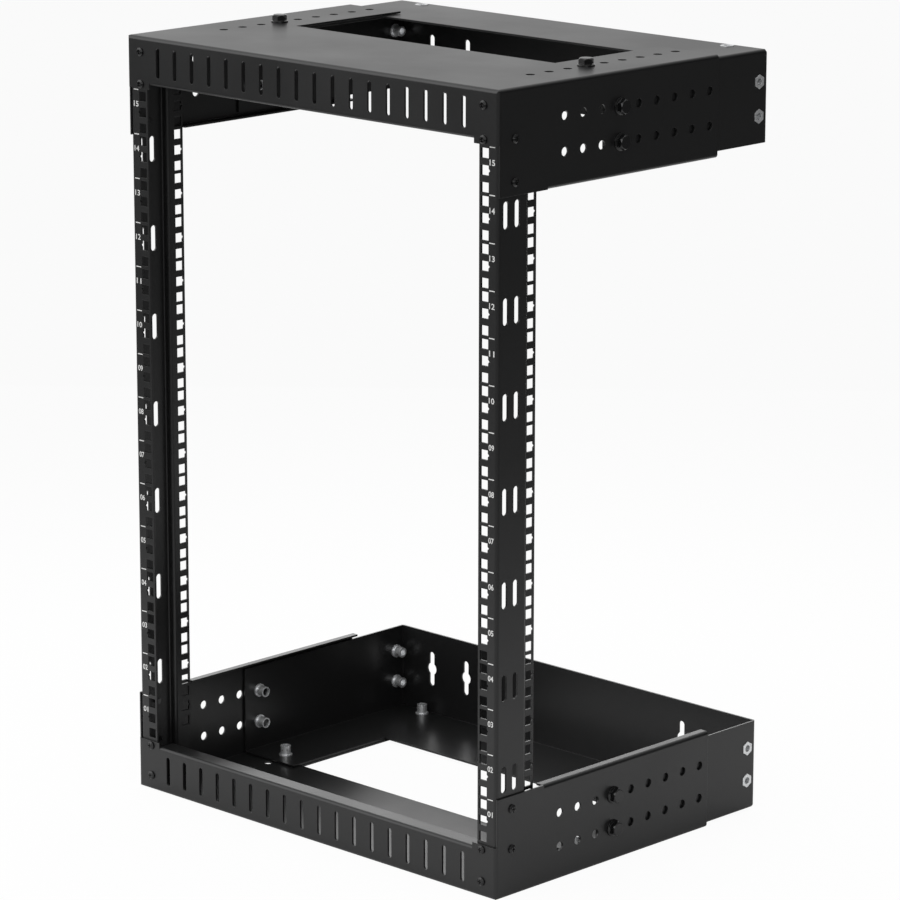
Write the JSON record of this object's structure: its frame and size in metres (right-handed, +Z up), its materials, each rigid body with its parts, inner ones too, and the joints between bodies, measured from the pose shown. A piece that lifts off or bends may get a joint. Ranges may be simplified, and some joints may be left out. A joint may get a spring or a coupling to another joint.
{
  "type": "two post open frame rack",
  "caption": "Open frame wall rack: two perforated posts between top and bottom pans, whose rear halves bolt on at a choice of depths, with keyholes at the back.",
  "frame": {"origin": "middle of the box, at the underside of the bottom pan", "axes": "+X across to the right seen from the front, +Y from the front lip to the wall, +Z up"},
  "size_m": [0.5182, 0.3834, 0.7811],
  "materials": {
    "post": "satin black powder coat",
    "pan": "satin black powder coat",
    "bolt": "black plated steel, semi gloss",
    "screw": "black plated steel, semi gloss",
    "insert": "bright zinc plate"
  },
  "bodies": {
    "root": {"left_post": "post", "right_post": "post", "top_front_pan": "pan", "bottom_front_pan": "pan", "top_rear_pan": "pan", "bottom_rear_pan": "pan", "top_left_bolts": "bolt", "top_right_bolts": "bolt", "top_plate_bolts": "bolt", "bottom_left_bolts": "bolt", "bottom_right_bolts": "bolt", "top_left_front_inserts": "insert", "top_left_rear_inserts": "insert", "top_right_front_inserts": "insert", "top_right_rear_inserts": "insert", "top_plate_inserts": "insert", "bottom_left_front_inserts": "insert", "bottom_left_rear_inserts": "insert", "bottom_right_front_inserts": "insert", "bottom_right_rear_inserts": "insert", "bottom_plate_inserts": "insert", "top_left_front_screws": "screw", "top_left_side_screws": "screw", "top_right_front_screws": "screw", "top_right_side_screws": "screw", "bottom_left_front_screws": "screw", "bottom_left_side_screws": "screw", "bottom_right_front_screws": "screw", "bottom_right_side_screws": "screw"}
  },
  "joints": []
}
